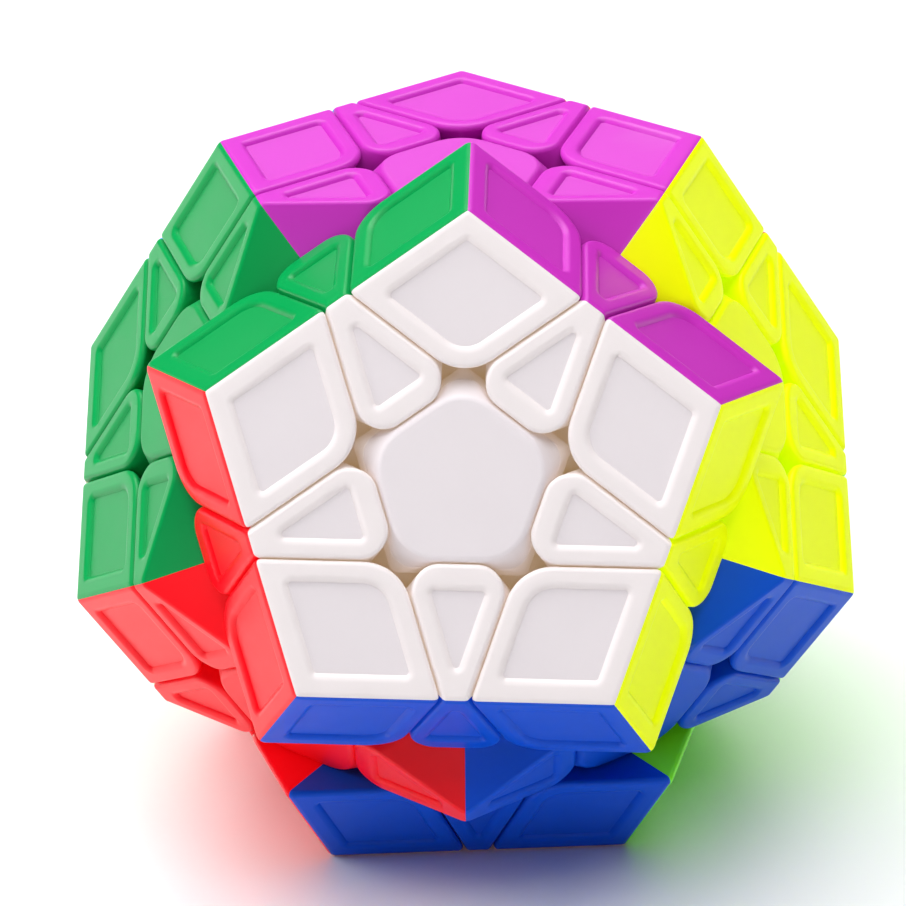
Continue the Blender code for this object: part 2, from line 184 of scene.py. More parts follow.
COLOURS = {
    "white": (0.92, 0.852, 0.859),
    "pink": (0.80, 0.20, 0.33),
    "orange": (0.85, 0.15, 0.01),
    "magenta": (0.61, 0.036, 0.54),
    "yellow": (0.93, 1.0, 0.001),
    "green": (0.001, 0.34, 0.078),
    "blue": (0.002, 0.082, 0.667),
    "red": (0.93, 0.004, 0.014),
    "light_blue": (0.06, 0.37, 0.70),
    "lime": (0.20, 0.90, 0.015),
    "cream": (0.72, 0.62, 0.36),
    "grey": (0.24, 0.25, 0.27),
}
# Painted glow: constant light that the fluorescent plastics give off whatever the lamps, on top of what they
# reflect
GLOW = {"yellow": (0.10, 0.16, 0.0), "red": (0.09, 0.0, 0.0), "lime": (0.02, 0.09, 0.0)}
# Painted glow beside the narrow gaps of the white plastic, standing in for the light that thin plastic lets
# through.
# It fades to nothing where the surroundings are open to this share.
GAP_LIGHT = {"white": 0.085}
GAP_LIGHT_COLOUR = (1.0, 0.68, 0.26)
GAP_LIGHT_REACH = 4.0 * MM
GAP_LIGHT_OPEN = 0.8
GAP_LIGHT_SAMPLES = 4
CORE_COLOUR = (0.10, 0.10, 0.11)
# How much darker each channel of the panels' colour is than the rims'; the white panels are also a little
# bluer
PANEL_SHADE = (0.97, 0.97, 0.97)
PANEL_SHADES = {"white": (0.93, 0.93, 0.96)}
GLOSS = 0.25
PANEL_GLOSS = 0.45
# The colours with a duller surface, and how much of the gloss they keep
DULLNESS = {"yellow": 0.25, "blue": 0.5}

# How rough each plastic is, and how strong its grain
SHELL_FINISH = (0.3, 0.1)
PANEL_FINISH = (0.42, 0.2)
CORE_FINISH = (0.4, 0.2)
# Uneven moulding: how large its clouds are, and how far they change the roughness and the colour
CLOUD_SCALE = 160.0
CLOUD_DETAIL = 3.0
CLOUD_ROUGHNESS = 0.05
CLOUD_SHADE = 0.97
GRAIN_SCALE = 4500.0
GRAIN_HEIGHT = 0.01 * MM
# Painted highlight on sharp edges: how sharp an edge is where it starts and where it is full, and how much
# white it adds
EDGE_HIGHLIGHT_START = 0.52
EDGE_HIGHLIGHT_END = 0.62
EDGE_HIGHLIGHT = 0.03
STEEL_COLOUR = (0.62, 0.62, 0.64)
STEEL_ROUGHNESS = (0.2, 0.4)
STEEL_MARK_SCALE = 3000.0
STEEL_MARKS = 0.3
FLOOR_COLOUR = (0.94, 0.94, 0.94)
FLOOR_ROUGHNESS = (0.35, 0.5)
FLOOR_FIBRE_SCALE = 400.0

RING_TILT = math.atan(0.5)


def direction(azimuth, elevation):
    """A direction from the core centre. Both angles are in radians. Azimuth runs from -Y towards +X."""
    flat = math.cos(elevation)
    return Vector((flat * math.sin(azimuth), -flat * math.cos(azimuth), math.sin(elevation)))


def ring_normal(azimuth_degrees, side):
    """The outward direction of a face in the upper (side 1) or lower (side -1) ring."""
    return direction(math.radians(azimuth_degrees), side * RING_TILT)


# Every face's outward direction, in the order in which the CAD names its pieces
FACES = {
    "white": ring_normal(0, 1),
    "pink": Vector((0, 0, -1)),
    "orange": ring_normal(144, 1),
    "magenta": Vector((0, 0, 1)),
    "yellow": ring_normal(72, 1),
    "green": ring_normal(-72, 1),
    "blue": ring_normal(36, -1),
    "red": ring_normal(-36, -1),
    "light_blue": ring_normal(-144, 1),
    "lime": ring_normal(108, -1),
    "cream": ring_normal(-108, -1),
    "grey": ring_normal(180, -1),
}


def neighbours(face):
    """The five faces that share an edge with this one, in order round it."""
    axis = FACES[face]
    found = [name for name in FACES if name != face and FACES[name].dot(axis) > 0]
    start = FACES[found[0]] - axis * axis.dot(FACES[found[0]])
    side = axis.cross(start)

    def turn(name):
        return math.atan2(FACES[name].dot(side), FACES[name].dot(start)) % math.tau

    return sorted(found, key=turn)


def edge_pairs():
    """The two faces of each of the 30 edge pieces, in the naming order."""
    order = list(FACES)
    return [(a, b) for a in order for b in order[order.index(a) :] if b in neighbours(a)]


def corner_triples():
    """The three faces of each of the 20 corner pieces: the first in naming order, then round the corner."""
    order = list(FACES)
    triples = []
    for first in order:
        ring = neighbours(first)
        for second, third in zip(ring, ring[1:] + ring[:1]):
            if order.index(first) < min(order.index(second), order.index(third)):
                triples.append((first, second, third))
    return triples


def end_faces(first, second):
    """The two faces at the ends of the edge between two faces."""
    return [name for name in neighbours(first) if name in neighbours(second)]


def columns(a, b, c):
    """The matrix with these columns."""
    return Matrix((a, b, c)).transposed()


def rotation_between(sample, target):
    """The rotation that carries one pair of neighbouring directions onto another pair."""
    start = columns(sample[0], sample[1], sample[0].cross(sample[1]))
    end = columns(target[0], target[1], target[0].cross(target[1]))
    return end @ start.inverted()


def even_shares(steps):
    """The numbers from 0 to 1 in this many equal steps."""
    return [step / steps for step in range(steps + 1)]


def slerp(a, b, share):
    """A direction part of the way from a to b along the great circle."""
    angle = a.angle(b)
    return (a * math.sin((1 - share) * angle) + b * math.sin(share * angle)) / math.sin(angle)


# Surfaces


class Surface:
    """The faces of one piece, welded into a closed mesh at the end."""

    def __init__(self):
        self.bm = bmesh.new()

    def face(self, points, slot):
        polygon = self.bm.faces.new([self.bm.verts.new(point) for point in points])
        polygon.material_index = slot

    def grid(self, rows, slot, closed=False):
        """Faces between neighbouring rows of points. A closed grid also joins each row's end to its start."""
        for row, following in zip(rows, rows[1:]):
            count = len(row)
            for this in range(count if closed else count - 1):
                after = (this + 1) % count
                self.face((row[this], row[after], following[after], following[this]), slot)

    def colour_by_sector(self, normals):
        """Gives each polygon the slot of the face that it is nearest."""
        for polygon in self.bm.faces:
            centre = polygon.calc_center_median()
            nearness = [normal.dot(centre) for normal in normals]
            polygon.material_index = nearness.index(max(nearness))

    def welded(self):
        bmesh.ops.remove_doubles(self.bm, verts=self.bm.verts, dist=WELD)
        bmesh.ops.recalc_face_normals(self.bm, faces=self.bm.faces)
        return self.bm


# Facelets


class Side(NamedTuple):
    """A side of a facelet: a ridge shared with another face, or a wall where a cut plane runs."""

    outward: Vector
    distance: float
    ridge: bool


def ridge_to(normal):
    return Side(normal, FACE_DISTANCE, True)


def wall_above_cut(normal):
    """The wall of a corner or edge on the outer side of a face's cut plane."""
    return Side(-normal, -(CUT_DISTANCE + CUT_GAP), False)


def wall_below_cut(normal):
    """The wall of an edge or centre on the inner side of a face's cut plane."""
    return Side(normal, CUT_DISTANCE - CUT_GAP, False)


class Station(NamedTuple):
    """A place along the rounded top of a wall."""

    centre: Vector  # of the rounding
    top: Vector  # the outward direction of the surface above the rounding
    wall: Vector  # the outward direction of the wall below it
    radius: float

    def column(self):
        """Points down the rounding, from the surface above it to the wall."""
        turns = [slerp(self.top, self.wall, share) for share in even_shares(FILLET_STEPS)]
        return [self.centre + turn * self.radius for turn in turns]

    def foot(self):
        return self.centre + self.wall * self.radius


def meet(first, first_reach, second, second_reach):
    """Where two lines cross, each at right angles to a direction and at a distance along it."""
    overlap = first.dot(second)
    scale = 1 - overlap * overlap
    along_first = (first_reach - second_reach * overlap) / scale
    along_second = (second_reach - first_reach * overlap) / scale
    return first * along_first + second * along_second


def slide(point, direction, floors):
    """Where a line from a point first meets a floor. Each floor is its upward direction and distance."""
    travels = [(distance - up.dot(point)) / up.dot(direction) for up, distance in floors]
    return point + direction * min(travels, default=0.0)


class Bend(NamedTuple):
    """A corner of a facelet's panel, between two of its sides, and how many points it takes."""

    before: int
    after: int
    radius: float
    points: int


class Facelet(NamedTuple):
    """One facelet of a piece, with its sides in order round the face's outward direction.

    Its walls end at the floors, and the seams on its walls end at the seam floors.
    """

    normal: Vector
    sides: list
    fillet: float
    wall_radius: float
    floors: tuple
    seam_floors: tuple = ()
    level: float = FACE_DISTANCE

    def side(self, index):
        return self.sides[index % len(self.sides)]

    def flat_direction(self, side):
        """A side's outward direction within the face's plane."""
        return (side.outward - self.normal * self.normal.dot(side.outward)).normalized()

    def reach(self, side, rounding):
        """How far from the face's axis the flat area ends at a side with this rounding."""
        rise = self.normal.dot(side.outward)
        spread = math.sqrt(1 - rise * rise)
        if side.ridge:
            return (self.level - rounding) * spread / (1 + rise)
        return (side.distance - rounding - rise * (self.level - rounding)) / spread

    def flat_limit(self, side):
        """A side's outward direction in the face's plane, and how far along it the flat area ends."""
        rounding = RIDGE_RADIUS if side.ridge else self.fillet
        return self.flat_direction(side), self.reach(side, rounding)

    def ridge_axis(self, ridge):
        """A point on the axis of a ridge's rounding, the axis's direction, and the direction of its crest."""
        crest = (self.normal + ridge.outward).normalized()
        point = crest * ((self.level - RIDGE_RADIUS) / crest.dot(self.normal))
        return point, self.normal.cross(ridge.outward), crest

    def ridge_station(self, ridge, wall, share):
        """The station where a ridge meets a wall, share of the way from the flat area to the crest."""
        point, along, crest = self.ridge_axis(ridge)
        top = slerp(self.normal, crest, share)
        point = point + top * (RIDGE_RADIUS - self.fillet)
        travel = (wall.distance - self.fillet - wall.outward.dot(point)) / wall.outward.dot(along)
        return Station(point + along * travel, top, wall.outward, self.fillet)

    def round_stations(self, first, second):
        """The stations round the upright edge between two walls, and the direction down along it."""
        down = first.outward.cross(second.outward).normalized()
        down = -down if down.dot(self.normal) > 0 else down
        axis = meet(
            first.outward,
            first.distance - self.wall_radius,
            second.outward,
            second.distance - self.wall_radius,
        )
        stations = []
        for share in even_shares(ROUND_STEPS):
            wall = slerp(first.outward, second.outward, share)
            centre = axis + wall * (self.wall_radius - self.fillet)
            centre = slide(centre, down, [(self.normal, self.level - self.fillet)])
            stations.append(Station(centre, self.normal, wall, self.fillet))
        return stations, down

    def corner_points(self, index):
        """The points of the flat area's outline at the corner between a side and the one after it."""
        first = self.side(index)
        second = self.side(index + 1)
        if not (first.ridge or second.ridge):
            stations, _ = self.round_stations(first, second)
            return [station.centre + self.normal * self.fillet for station in stations]
        corner = meet(*self.flat_limit(first), *self.flat_limit(second))
        return [corner + self.normal * self.level]

    def side_points(self, index):
        """The points of the flat area's outline along a side, without the corners at its ends."""
        start = self.corner_points(index - 1)[-1]
        end = self.corner_points(index)[0]
        return [start.lerp(end, share) for share in SIDE_SHARES]

    def outline(self):
        """The outline of the flat area, from the corner before the first side."""
        points = []
        for index in range(len(self.sides)):
            points += self.corner_points(index - 1)
            points += self.side_points(index)
        return points

    def panel_loop(self, bends, insets, angle):
        """A loop round the panel, at a turn down the step's rounding. STEP_TILT gives the panel's outline."""
        outside = STEP_WIDTH - STEP_RADIUS * math.sin(angle)
        height = self.level - STEP_RADIUS * (1 - math.cos(angle))
        arcs = []
        for bend in bends:
            flats = [self.flat_direction(self.side(index)) for index in (bend.before, bend.after)]
            reaches = [
                self.reach(self.side(index), 0.0) - insets[index % len(insets)] - bend.radius
                for index in (bend.before, bend.after)
            ]
            middle = meet(flats[0], reaches[0], flats[1], reaches[1]) + self.normal * height
            turns = [slerp(*flats, share) for share in even_shares(bend.points - 1)]
            arcs.append([middle + turn * (bend.radius + outside) for turn in turns])
        loop = []
        for arc_points, following in zip(arcs, arcs[1:] + arcs[:1]):
            loop += arc_points
            loop.append(arc_points[-1].lerp(following[0], 0.5))
        return loop

    def add_top(self, surface, slot, panel_slot, bends, insets):
        """The flat rim, its rounded inner edge, and the panel, which lies inside the sides by the insets."""
        outline = self.outline()
        rows = [outline[-NEAR_POINTS:] + outline[:-NEAR_POINTS]]
        for share in even_shares(PANEL_STEPS):
            rows.append(self.panel_loop(bends, insets, STEP_TILT * share))
        surface.grid(rows, slot, closed=True)
        surface.face(rows[-1], panel_slot)

    def add_ridge(self, surface, index, slot):
        """This facelet's half of a rounded ridge."""
        rows = []
        for share in even_shares(RIDGE_STEPS):
            start = self.ridge_end(self.side(index), self.side(index - 1), share)
            end = self.ridge_end(self.side(index), self.side(index + 1), share)
            rows.append([start.lerp(end, along) for along in (0.0, *SIDE_SHARES, 1.0)])
        surface.grid(rows, slot)

    def ridge_end(self, ridge, other, share):
        """Where a line along a ridge's rounding ends, at a wall's rounded top or at the piece's point."""
        crest = self.ridge_axis(ridge)[2]
        if other.ridge:
            outward = slerp(self.normal, crest, share)
            return self.tip_centre(ridge, other) + outward * RIDGE_RADIUS
        return self.ridge_station(ridge, other, share).column()[0]

    def tip_centre(self, ridge, other):
        """The centre of the ball that rounds the point where three faces meet."""
        tip = (self.normal + ridge.outward + other.outward).normalized()
        return tip * ((self.level - RIDGE_RADIUS) / tip.dot(self.normal))

    def add_tip(self, surface, index, slot):
        """This facelet's third of the ball-rounded point between a ridge and the one after it."""
        ridges = [self.side(index), self.side(index + 1)]
        centre = self.tip_centre(*ridges)
        crests = [self.ridge_axis(ridge)[2] for ridge in ridges]
        rows = []
        for share in even_shares(RIDGE_STEPS):
            start = slerp(self.normal, crests[0], share)
            end = slerp(crests[1], centre.normalized(), share)
            turns = [slerp(start, end, across) for across in even_shares(RIDGE_STEPS)]
            rows.append([centre + turn * RIDGE_RADIUS for turn in turns])
        surface.grid(rows, slot)

    def side_stations(self, index):
        """The stations along a wall's top, with those that round it into a ridge at either end."""
        wall = self.side(index)
        before, after = self.side(index - 1), self.side(index + 1)
        shares = even_shares(RIDGE_STEPS)
        stations = []
        if before.ridge:
            stations += [self.ridge_station(before, wall, share) for share in reversed(shares)]
        for point in self.side_points(index):
            centre = point - self.normal * self.fillet
            stations.append(Station(centre, self.normal, wall.outward, self.fillet))
        if after.ridge:
            stations += [self.ridge_station(after, wall, share) for share in shares]
        return stations

    def wall_end(self, index, turn, stations):
        """The top and bottom of a wall's flat part at one end: an upright rounded edge or a ridge's seam."""
        wall = self.side(index)
        other = self.side(index + turn)
        if other.ridge:
            foot = stations[0 if turn < 0 else -1].foot()
            along_seam = wall.outward.cross(self.normal - other.outward)
            return foot, slide(foot, along_seam, self.seam_floors)
        pair = (other, wall) if turn < 0 else (wall, other)
        round_stations, down = self.round_stations(*pair)
        foot = round_stations[-1 if turn < 0 else 0].foot()
        return foot, slide(foot, down, self.floors)

    def add_walls(self, surface, slot, foot=None):
        """The rounded top of every wall and the wall below it. Returns the points along the bottom.

        The walls of a facelet with no ridges can end at the outline of another, its foot.
        """
        columns_of_points = []
        bottoms = []
        for index, wall in enumerate(self.sides):
            if wall.ridge:
                continue
            stations = self.side_stations(index)
            start, low_start = self.wall_end(index, -1, stations)
            end, low_end = self.wall_end(index, 1, stations)
            for station in stations:
                share = (station.foot() - start).dot(end - start) / (end - start).length_squared
                columns_of_points.append(station.column())
                bottoms.append(low_start.lerp(low_end, share))
            if not self.side(index + 1).ridge:
                round_stations, down = self.round_stations(wall, self.side(index + 1))
                for station in round_stations:
                    columns_of_points.append(station.column())
                    bottoms.append(slide(station.foot(), down, self.floors))
        closed = not any(side.ridge for side in self.sides)
        if foot:
            outline = foot.outline()
            bottoms = outline[ROUND_STEPS + 1 :] + outline[: ROUND_STEPS + 1]
        rows = [list(row) for row in zip(*columns_of_points)]
        surface.grid([*rows, bottoms], slot, closed=closed)
        return bottoms


# The moulded shells


def corner_surface(faces):
    """A corner's body: three facelets above three walls that meet at its inner tip.

    Slots 0 to 2 are the faces' shells, and 3 to 5 their panels.
    """
    normals = [FACES[face] for face in faces]
    surface = Surface()
    for slot in range(3):
        normal, second, third = normals[slot], normals[slot - 2], normals[slot - 1]
        sides = [ridge_to(second), ridge_to(third), wall_above_cut(second), wall_above_cut(third)]
        between_faces = ((normal - second, 0.0), (normal - third, 0.0))
        facelet = Facelet(normal, sides, CUT_FILLET, CORNER_WALL_RADIUS, between_faces)
        bends = [Bend(side - 1, side, PANEL_RADIUS, SHARP_POINTS) for side in range(3)]
        bends.append(Bend(2, 3, CORNER_PANEL_RADIUS, ROUND_POINTS))
        facelet.add_top(surface, slot, slot + 3, bends, [CORNER_INSET] * 4)
        facelet.add_ridge(surface, 0, slot)
        facelet.add_ridge(surface, 1, slot)
        facelet.add_tip(surface, 0, slot)
        facelet.add_walls(surface, slot)
    return surface.welded()


def edge_surface(first, second):
    """An edge's body: two facelets above four walls, with a flat underside.

    Slots 0 and 1 are the faces' shells, and 2 and 3 their panels.
    """
    ends = [FACES[face] for face in end_faces(first, second)]
    normals = [FACES[first], FACES[second]]
    crest = (normals[0] + normals[1]).normalized()
    surface = Surface()
    for slot in range(2):
        normal, other = normals[slot], normals[1 - slot]
        after, before = sorted(ends, key=normal.cross(other).dot, reverse=True)
        sides = [
            ridge_to(other),
            wall_below_cut(after),
            wall_above_cut(other),
            wall_below_cut(before),
        ]
        underside = ((crest, BODY_UNDERSIDE),)
        facelet = Facelet(normal, sides, CUT_FILLET, EDGE_WALL_RADIUS, underside, underside)
        bends = [
            Bend(3, 1, PANEL_RADIUS, 2 * SHARP_POINTS + 1),
            Bend(1, 2, PANEL_RADIUS, ROUND_POINTS),
            Bend(2, 3, PANEL_RADIUS, ROUND_POINTS),
        ]
        insets = [0.0, EDGE_SIDE_INSET, EDGE_END_INSET, EDGE_SIDE_INSET]
        facelet.add_top(surface, slot, slot + 2, bends, insets)
        facelet.add_ridge(surface, 0, slot)
        surface.face(facelet.add_walls(surface, slot), slot)
    return surface.welded()


def plate_surface(top, bottom, fillet):
    """A centre's plate about +Z, between the five cut planes round it. Its corners are sharper lower down."""
    normal = FACES["magenta"]
    sides = [wall_below_cut(FACES[face]) for face in neighbours("magenta")]
    underside = ((normal, bottom),)
    facelet = Facelet(normal, sides, fillet, plate_radius(top), underside, level=top)
    foot = Facelet(normal, sides, 0.0, plate_radius(bottom), underside, level=bottom)
    surface = Surface()
    surface.face(facelet.outline(), 0)
    surface.face(facelet.add_walls(surface, 0, foot), 0)
    return surface.welded()


def plate_radius(height):
    """The radius of a centre's corners at a height. They sharpen from the cap's top downwards."""
    share = (height - BODY_UNDERSIDE) / (FACE_DISTANCE - BODY_UNDERSIDE)
    return CENTRE_FOOT_RADIUS + (CENTRE_TOP_RADIUS - CENTRE_FOOT_RADIUS) * share


# Feet


def crossing(a, angle_a, b, angle_b, towards):
    """The direction at one angle from a and another from b, on the side of a third direction."""
    inside = meet(a, math.cos(angle_a), b, math.cos(angle_b))
    across = a.cross(b).normalized() * math.sqrt(1.0 - inside.length_squared)
    return max((inside + across, inside - across), key=towards.dot)


def arc(axis, start, end, steps):
    """Directions from start towards end, turning about axis, without end itself."""
    flat_start = start - axis * axis.dot(start)
    flat_end = end - axis * axis.dot(end)
    turn = math.atan2(axis.dot(flat_start.cross(flat_end)), flat_start.dot(flat_end))
    return [Quaternion(axis, turn * step / steps) @ start for step in range(steps)]


def foot_surface(middle, outline, normals):
    """A foot: the part of the shell inside the outline, with a rounded rim, in the nearest faces' slots."""
    rounding = FOOT_ROUNDING / FOOT_INNER_RADIUS
    shoulders = [slerp(middle, end, 1 - rounding / middle.angle(end)) for end in outline]
    rings = []
    for step in range(1, FOOT_STEPS):
        rings.append([slerp(middle, end, step / FOOT_STEPS) for end in shoulders])
    rows = [[middle * FOOT_OUTER_RADIUS] * len(outline)]
    rows += [[outward * FOOT_OUTER_RADIUS for outward in ring] for ring in rings]
    outer_corner = FOOT_OUTER_RADIUS - FOOT_ROUNDING
    inner_corner = FOOT_INNER_RADIUS + FOOT_ROUNDING
    for corner, start in ((outer_corner, 0.0), (inner_corner, math.pi / 2)):
        for share in even_shares(RIDGE_STEPS):
            angle = start + math.pi / 2 * share
            rows.append([rim_point(middle, end, corner, angle) for end in outline])
    rows += [[outward * FOOT_INNER_RADIUS for outward in ring] for ring in reversed(rings)]
    rows.append([middle * FOOT_INNER_RADIUS] * len(outline))
    surface = Surface()
    surface.grid(rows, 0, closed=True)
    surface.colour_by_sector(normals)
    return surface.welded()


def rim_point(middle, end, corner, angle):
    """A point on the rounded rim of a foot, at a turn about the middle of one of the rim's two roundings."""
    inward = (middle - end * end.dot(middle)).normalized()
    around = end * math.cos(angle) - inward * math.sin(angle)
    return end * corner + inward * FOOT_ROUNDING + around * FOOT_ROUNDING


def corner_foot(faces):
    """A corner's foot, with three lobes."""
    normals = [FACES[face] for face in faces]
    middle = sum(normals, Vector()).normalized()
    angle = FOOT_CONE - FOOT_CONE_GAP
    tips = [crossing(normals[i - 2], angle, normals[i - 1], angle, normals[i]) for i in range(3)]
    outline = []
    for this in range(3):
        # The stretch between two lobe tips lies on the cone of the third face.
        outline += arc(normals[this - 1], tips[this], tips[this - 2], OUTLINE_STEPS)
    return foot_surface(middle, outline, normals)


def edge_foot(first, second):
    """An edge's foot, which runs under two centres."""
    normals = [FACES[first], FACES[second]]
    ends = [FACES[face] for face in end_faces(first, second)]
    near = FOOT_CONE - FOOT_CONE_GAP
    far = FOOT_CONE + FOOT_CONE_GAP
    outline = []
    for this, other in ((0, 1), (1, 0)):
        # From one end of the stretch under a centre to its other end, then along the cone of an end face.
        start = crossing(normals[this], near, ends[this], far, normals[other])
        turn = crossing(normals[this], near, ends[other], far, normals[other])
        finish = crossing(normals[other], near, ends[other], far, normals[this])
        outline += arc(normals[this], start, turn, OUTLINE_STEPS // 2)
        outline += arc(ends[other], turn, finish, OUTLINE_STEPS)
    return foot_surface(sum(normals, Vector()).normalized(), outline, normals)


def edge_neck(first, second):
    """The neck that joins an edge's body to its foot, an upright post with rounded corners."""
    crest = (FACES[first] + FACES[second]).normalized()
    along = FACES[first].cross(FACES[second]).normalized()
    across = crest.cross(along)
    halves = [size / 2 - NECK_ROUNDING for size in (EDGE_NECK_WIDTH, EDGE_NECK_LENGTH)]
    rows = []
    for height in (FOOT_OUTER_RADIUS - EDGE_NECK_OVERLAP, BODY_UNDERSIDE + EDGE_NECK_OVERLAP):
        row = []
        for turn in range(NECK_SIDES):
            angle = math.tau * (turn + 0.5) / NECK_SIDES
            offsets = []
            for half, part in zip(halves, (math.cos(angle), math.sin(angle))):
                offsets.append(math.copysign(half, part) + NECK_ROUNDING * part)
            row.append(crest * height + across * offsets[0] + along * offsets[1])
        rows.append(row)
    surface = Surface()
    surface.grid(rows, 0, closed=True)
    for row in rows:
        surface.face(row, 0)
    surface.colour_by_sector([FACES[first], FACES[second]])
    return surface.welded()


# What holds the centres


def cylinder(radius, bottom, top):
    """A closed upright cylinder on the Z axis."""
    bm = bmesh.new()
    bmesh.ops.create_cone(
        bm,
        cap_ends=True,
        segments=TURNED_SIDES,
        radius1=radius,
        radius2=radius,
        depth=top - bottom,
        matrix=Matrix.Translation((0, 0, (bottom + top) / 2)),
    )
    return bm


def turned(profile, closed):
    """A solid turned about Z from (radius, height) points. An open profile starts and ends on the axis."""
    angles = [math.tau * step / TURNED_SIDES for step in range(TURNED_SIDES)]
    spokes = [Vector((math.cos(angle), math.sin(angle), 0)) for angle in angles]
    rows = []
    for radius, height in profile:
        rows.append([spoke * radius + Vector((0, 0, height)) for spoke in spokes])
    surface = Surface()
    surface.grid([*rows, rows[0]] if closed else rows, 0, closed=True)
    return surface.welded()


def hub_mesh():
    """A centre's hub about +Z: a stalk with a flange and a spring cavity, and a plate under the cap."""
    top = HUB_TOP - JOIN_OVERLAP
    bevel = STALK_BEVEL
    stalk = turned(
        [
            (STALK_RADIUS, top),
            (STALK_RADIUS, FLANGE_TOP + bevel),
            (STALK_RADIUS + bevel, FLANGE_TOP),
            (FLANGE_RADIUS - bevel, FLANGE_TOP),
            (FLANGE_RADIUS, FLANGE_TOP - bevel),
            (FLANGE_RADIUS, FLANGE_BOTTOM + bevel),
            (FLANGE_RADIUS - bevel, FLANGE_BOTTOM),
            (STALK_RADIUS + bevel, FLANGE_BOTTOM),
            (STALK_RADIUS, FLANGE_BOTTOM - bevel),
            (STALK_RADIUS, STALK_BOTTOM + bevel),
            (STALK_RADIUS - bevel, STALK_BOTTOM),
            (FLOOR_HOLE_RADIUS, STALK_BOTTOM),
            (FLOOR_HOLE_RADIUS, top),
        ],
        closed=True,
    )
    plate = plate_surface(HUB_TOP, BODY_UNDERSIDE, HUB_FILLET)
    cavity = cylinder(CAVITY_RADIUS, CAVITY_FLOOR, HUB_TOP + CUTTER_OVERRUN)
    return built("hub", plate, [("UNION", stalk), ("DIFFERENCE", cavity)])


def cap_mesh():
    """A centre's cap about +Z: the plate that shows, with a plug that snaps into the hub's cavity."""
    plate = plate_surface(FACE_DISTANCE, HUB_TOP + CAP_SEAM, CENTRE_FILLET)
    plug = turned(
        [
            (0.0, PLUG_TOP),
            (PLUG_RADIUS, PLUG_TOP),
            (PLUG_RADIUS, PLUG_BOTTOM + PLUG_BEVEL),
            (PLUG_RADIUS - PLUG_BEVEL, PLUG_BOTTOM),
            (0.0, PLUG_BOTTOM),
        ],
        closed=False,
    )
    return built("cap", plate, [("UNION", plug)])


def screw_mesh():
    """One screw about +Z: a domed head with a cross recess, a plain shank and a threaded end."""
    profile = [(0.0, HEAD_TOP)]
    for step in range(1, HEAD_STEPS + 1):
        angle = math.pi / 2 * step / HEAD_STEPS
        profile.append((HEAD_RADIUS * math.sin(angle), HEAD_TOP - HEAD_DOME * (1 - math.cos(angle))))
    profile += [(HEAD_RADIUS, HEAD_BOTTOM), (SHANK_RADIUS, HEAD_BOTTOM)]
    turns = round((POST_TOP - SHANK_BOTTOM) / THREAD_PITCH)
    for turn in range(turns):
        height = POST_TOP - turn * THREAD_PITCH
        profile += [(SHANK_RADIUS, height), (SHANK_RADIUS - THREAD_DEPTH, height - THREAD_PITCH / 2)]
    profile += [(SHANK_RADIUS - THREAD_DEPTH, SHANK_BOTTOM), (0.0, SHANK_BOTTOM)]
    recess = Surface()
    outline = []
    for step in range(4):
        turn = Matrix.Rotation(math.tau * step / 4, 3, "Z")
        for side, reach in ((1, RECESS_HALF_WIDTH), (1, RECESS_RADIUS), (-1, RECESS_RADIUS)):
            outline.append(turn @ Vector((side * RECESS_HALF_WIDTH, reach, 0)))
    rows = []
    for height in (HEAD_TOP - RECESS_DEPTH, HEAD_TOP + CUTTER_OVERRUN):
        rows.append([point + Vector((0, 0, height)) for point in outline])
        recess.face(rows[-1], 0)
    recess.grid(rows, 0, closed=True)
    return built("screw", turned(profile, closed=False), [("DIFFERENCE", recess.welded())])


def spring_mesh():
    """The spring round a screw, from the cavity's floor to the screw's head, with flat closed ends."""
    low = CAVITY_FLOOR + WIRE_RADIUS
    high = HEAD_BOTTOM - WIRE_RADIUS
    count = SPRING_TURNS * SPRING_STEPS
    rows = []
    for step in range(count + 1):
        turn = step / SPRING_STEPS
        # The first and last turns lie almost flat against their seats.
        rise = min(max((turn - 1) / (SPRING_TURNS - 2), 0.0), 1.0)
        closed_ends = 2 * WIRE_RADIUS * (min(turn, 1.0) + max(turn - SPRING_TURNS + 1, 0.0) - 1.0)
        height = (low + high) / 2 + (rise - 0.5) * (high - low - 4 * WIRE_RADIUS) + closed_ends
        angle = math.tau * turn
        outward = Vector((math.cos(angle), math.sin(angle), 0))
        centre = outward * SPRING_RADIUS + Vector((0, 0, height))
        row = []
        for side in range(WIRE_SIDES):
            around = math.tau * side / WIRE_SIDES
            spoke = outward * math.cos(around) + Vector((0, 0, math.sin(around)))
            row.append(centre + spoke * WIRE_RADIUS)
        rows.append(row)
    surface = Surface()
    surface.grid(rows, 0, closed=True)
    surface.face(rows[0], 0)
    surface.face(rows[-1], 0)
    return finished(to_mesh(surface.welded(), "spring"))


def core_mesh():
    """The core: a ball with a bored post under every face."""
    ball = bmesh.new()
    bmesh.ops.create_icosphere(ball, subdivisions=CORE_SUBDIVISIONS, radius=CORE_RADIUS)
    post = turned(
        [
            (0.0, POST_TOP),
            (POST_RADIUS - POST_BEVEL, POST_TOP),
            (POST_RADIUS, POST_TOP - POST_BEVEL),
            (POST_RADIUS, POST_START),
            (0.0, POST_START),
        ],
        closed=False,
    )
    bore = cylinder(BORE_RADIUS, BORE_BOTTOM, POST_TOP + CUTTER_OVERRUN)
    steps = [("UNION", under_each_face(post)), ("DIFFERENCE", under_each_face(bore))]
    return built("core", ball, steps)


def under_each_face(solid):
    """Copies of a solid about +Z, one on each face's axis."""
    sample = to_mesh(solid, "sample")
    bm = bmesh.new()
    for face in FACES:
        start = len(bm.verts)
        bm.from_mesh(sample)
        bm.verts.ensure_lookup_table()
        bmesh.ops.transform(bm, matrix=centre_rotation(face).to_4x4(), verts=bm.verts[start:])
    return bm


# Joining and finishing meshes


def to_mesh(bm, name):
    mesh = bpy.data.meshes.new(name)
    bm.to_mesh(mesh)
    bm.free()
    return mesh


def link(name, data):
    """A new object in the scene, with a mesh, light or camera as its data."""
    made = bpy.data.objects.new(name, data)
    bpy.context.scene.collection.objects.link(made)
    return made


